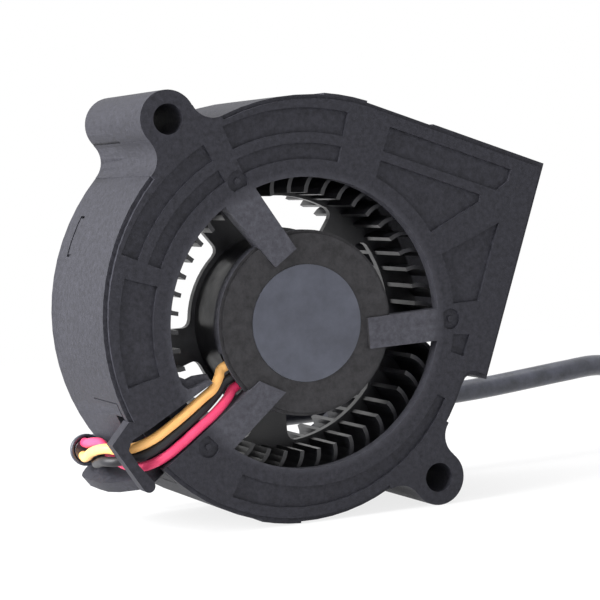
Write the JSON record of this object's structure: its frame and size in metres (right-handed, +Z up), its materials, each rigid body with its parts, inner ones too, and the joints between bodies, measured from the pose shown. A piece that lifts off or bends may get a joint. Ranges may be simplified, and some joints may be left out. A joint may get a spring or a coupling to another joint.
{
  "type": "dc blower fan",
  "caption": "Small centrifugal DC blower: scroll housing in two halves, external-rotor motor on three spokes, many-bladed double-inlet impeller, and a sleeved lead with a connector.",
  "frame": {"origin": "bottom centre of the blower standing on its scroll and lower ear, without its lead", "axes": "+Z up, -Y out of the front face with the motor base and its label, +X to the right seen from the front; the impeller's axis runs along Y"},
  "size_m": [0.1296, 0.0392, 0.0507],
  "materials": {
    "housing_plastic": "fine moulded texture",
    "label_film": "satin film, left bare",
    "brass": "turned",
    "bearing_steel": "ground",
    "lamination_steel": "stamped stack",
    "insulator_plastic": "moulded",
    "enamelled_copper": "enamelled winding",
    "board": "solder mask",
    "chip_plastic": "moulded package",
    "capacitor_ceramic": "ceramic",
    "solder": "solder",
    "yellow_insulation": "extruded insulation",
    "black_insulation": "extruded insulation",
    "red_insulation": "extruded insulation",
    "sleeve": "soft vinyl tubing",
    "connector_plastic": "moulded nylon",
    "impeller_plastic": "moulded",
    "cup_steel": "dark plated",
    "magnet": "bonded ferrite"
  },
  "bodies": {
    "housing": {"front_cover": "housing_plastic", "rear_shell": "housing_plastic", "label": "label_film", "bearing_tube": "brass", "front_bearing": "bearing_steel", "rear_bearing": "bearing_steel", "stator_core": "lamination_steel", "front_insulator": "insulator_plastic", "rear_insulator": "insulator_plastic", "windings": "enamelled_copper", "winding_pins": "brass", "circuit_board": "board", "hall_sensor": "chip_plastic", "driver_chip": "chip_plastic", "chip_capacitors": "capacitor_ceramic", "solder_joints": "solder", "yellow_wire": "yellow_insulation", "black_wire": "black_insulation", "red_wire": "red_insulation", "cable_sleeve": "sleeve", "cable_coil": "sleeve", "cable_tail": "sleeve", "lead_ends": "red_insulation", "connector_housing": "connector_plastic", "connector_contacts": "brass"},
    "rotor": {"impeller": "impeller_plastic", "rotor_cup": "cup_steel", "magnet_ring": "magnet", "shaft": "bearing_steel", "shaft_bush": "brass", "front_bearing_inner": "bearing_steel", "rear_bearing_inner": "bearing_steel", "bearing_balls": "bearing_steel", "preload_spring": "bearing_steel", "retaining_ring": "bearing_steel"}
  },
  "joints": [
    {"name": "impeller_spin", "type": "hinge", "parent": "housing", "child": "rotor", "pos_m": [-0.00378, 0, 0.02315], "axis": [0, 1, 0], "continuous": true}
  ]
}
